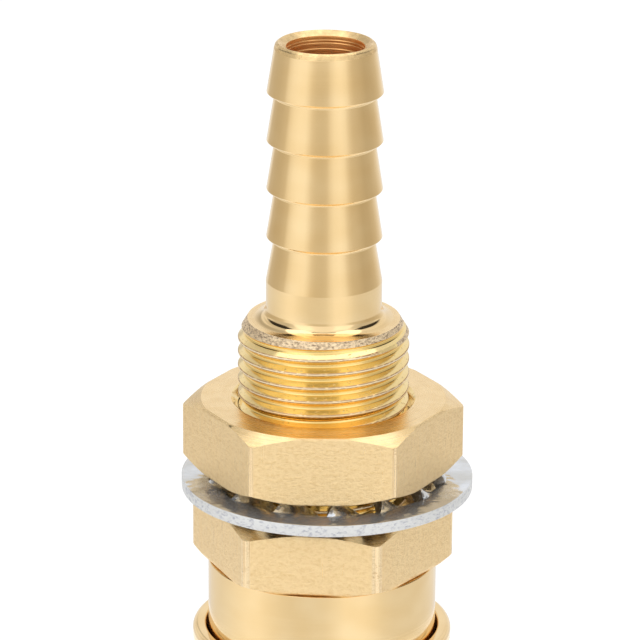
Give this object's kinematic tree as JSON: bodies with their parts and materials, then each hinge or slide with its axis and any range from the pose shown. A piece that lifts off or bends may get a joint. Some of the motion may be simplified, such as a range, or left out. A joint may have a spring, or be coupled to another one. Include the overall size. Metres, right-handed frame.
{
  "type": "quick coupling socket",
  "caption": "Brass quick-coupling socket for liquid cooling lines: ball-lock release sleeve, shut-off valve, hex flange, threaded panel shank with nut and tooth washer, barbed hose tail.",
  "frame": {"origin": "centre of the plug mouth's front face, on which the part stands", "axes": "+Z along the flow axis from the plug mouth to the hose end; the nut's flats face +Y and -Y, and -Y is the side seen in the picture; +X completes the right-handed frame"},
  "size_m": [0.0202, 0.0202, 0.0616],
  "materials": {
    "brass": "machined brass, polished on the barb, the barrel and the sleeve, brushed on the hexagon flats",
    "valve_brass": "turned brass",
    "zinc_plate": "bright zinc-plated steel",
    "spring_steel": "stainless spring wire",
    "ball_steel": "polished stainless steel",
    "rubber": "satin black rubber"
  },
  "bodies": {
    "coupling_body": {"hose_tail": "brass", "socket_body": "brass", "body_seal": "rubber", "valve_guide": "valve_brass", "plug_seal": "rubber", "retaining_ring": "spring_steel", "valve_spring": "spring_steel"},
    "sleeve_spring": {"sleeve_spring": "spring_steel"},
    "release_sleeve": {"release_sleeve": "brass"},
    "valve": {"valve_poppet": "valve_brass", "poppet_seal": "rubber"},
    "lock_washer": {"lock_washer": "zinc_plate"},
    "panel_nut": {"panel_nut": "brass"},
    "lock_ball_1": {"lock_ball_1": "ball_steel"},
    "lock_ball_2": {"lock_ball_2": "ball_steel"},
    "lock_ball_3": {"lock_ball_3": "ball_steel"},
    "lock_ball_4": {"lock_ball_4": "ball_steel"},
    "lock_ball_5": {"lock_ball_5": "ball_steel"},
    "lock_ball_6": {"lock_ball_6": "ball_steel"},
    "lock_ball_7": {"lock_ball_7": "ball_steel"},
    "lock_ball_8": {"lock_ball_8": "ball_steel"}
  },
  "joints": [
    {"name": "sleeve_turn", "type": "hinge", "parent": "coupling_body", "child": "sleeve_spring", "pos_m": [0, 0, 0], "axis": [0, 0, 1], "continuous": true},
    {"name": "sleeve_slide", "type": "slide", "parent": "sleeve_spring", "child": "release_sleeve", "axis": [0, 0, 1], "range_m": [0, 0.0032], "stiffness_N_per_m": 900, "springref_m": -0.004, "deforming": ["sleeve_spring"]},
    {"name": "valve_slide", "type": "slide", "parent": "coupling_body", "child": "valve", "axis": [0, 0, 1], "range_m": [0, 0.0026], "stiffness_N_per_m": 350, "springref_m": -0.003, "deforming": ["valve_spring"]},
    {"name": "nut_travel", "type": "slide", "parent": "coupling_body", "child": "lock_washer", "axis": [0, 0, 1], "range_m": [0, 0.00905]},
    {"name": "nut_turn", "type": "hinge", "parent": "lock_washer", "child": "panel_nut", "pos_m": [0, 0, 0.03372], "axis": [0, 0, 1], "range_deg": [0, 3240]},
    {"name": "ball_1_slide", "type": "slide", "parent": "coupling_body", "child": "lock_ball_1", "axis": [0.9239, 0.3827, 0], "range_m": [0, 0.00056]},
    {"name": "ball_2_slide", "type": "slide", "parent": "coupling_body", "child": "lock_ball_2", "axis": [0.3827, 0.9239, 0], "range_m": [0, 0.00056]},
    {"name": "ball_3_slide", "type": "slide", "parent": "coupling_body", "child": "lock_ball_3", "axis": [-0.3827, 0.9239, 0], "range_m": [0, 0.00056]},
    {"name": "ball_4_slide", "type": "slide", "parent": "coupling_body", "child": "lock_ball_4", "axis": [-0.9239, 0.3827, 0], "range_m": [0, 0.00056]},
    {"name": "ball_5_slide", "type": "slide", "parent": "coupling_body", "child": "lock_ball_5", "axis": [-0.9239, -0.3827, 0], "range_m": [0, 0.00056]},
    {"name": "ball_6_slide", "type": "slide", "parent": "coupling_body", "child": "lock_ball_6", "axis": [-0.3827, -0.9239, 0], "range_m": [0, 0.00056]},
    {"name": "ball_7_slide", "type": "slide", "parent": "coupling_body", "child": "lock_ball_7", "axis": [0.3827, -0.9239, 0], "range_m": [0, 0.00056]},
    {"name": "ball_8_slide", "type": "slide", "parent": "coupling_body", "child": "lock_ball_8", "axis": [0.9239, -0.3827, 0], "range_m": [0, 0.00056]}
  ],
  "couplings": [
    {"joint": "nut_travel", "follows": "nut_turn", "m_per_rad": 0.00015915},
    {"joint": "ball_1_slide", "follows": "sleeve_slide", "ratio": 0.17188},
    {"joint": "ball_2_slide", "follows": "sleeve_slide", "ratio": 0.17188},
    {"joint": "ball_3_slide", "follows": "sleeve_slide", "ratio": 0.17188},
    {"joint": "ball_4_slide", "follows": "sleeve_slide", "ratio": 0.17188},
    {"joint": "ball_5_slide", "follows": "sleeve_slide", "ratio": 0.17188},
    {"joint": "ball_6_slide", "follows": "sleeve_slide", "ratio": 0.17188},
    {"joint": "ball_7_slide", "follows": "sleeve_slide", "ratio": 0.17188},
    {"joint": "ball_8_slide", "follows": "sleeve_slide", "ratio": 0.17188}
  ]
}
